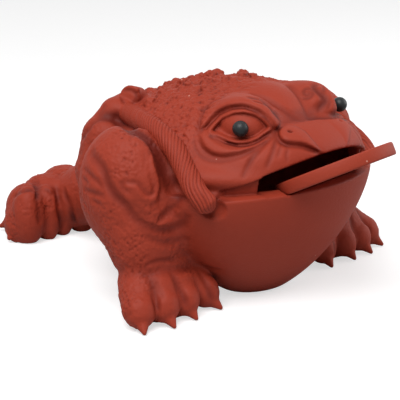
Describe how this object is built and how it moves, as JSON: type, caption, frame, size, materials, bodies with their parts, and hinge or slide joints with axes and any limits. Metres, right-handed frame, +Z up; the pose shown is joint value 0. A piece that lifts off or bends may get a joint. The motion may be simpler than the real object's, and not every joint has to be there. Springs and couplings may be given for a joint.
{
  "type": "money frog figurine",
  "caption": "Three-legged toad figurine of unglazed fired clay, hollow, with an open mouth that holds a loose coin disc and bead pupils.",
  "frame": {"origin": "on the ground, under the middle of the box of the whole figurine", "axes": "+Z up, the frog looks along -Y and its rear leg points to +Y, +X is the frog's left"},
  "size_m": [0.1592, 0.2097, 0.0894],
  "materials": {
    "clay": "matte",
    "coin_clay": "matte",
    "bead": "gloss"
  },
  "bodies": {
    "root": {"frog_body": "clay", "coin": "coin_clay", "eye_bead_right": "bead", "eye_bead_left": "bead"}
  },
  "joints": []
}
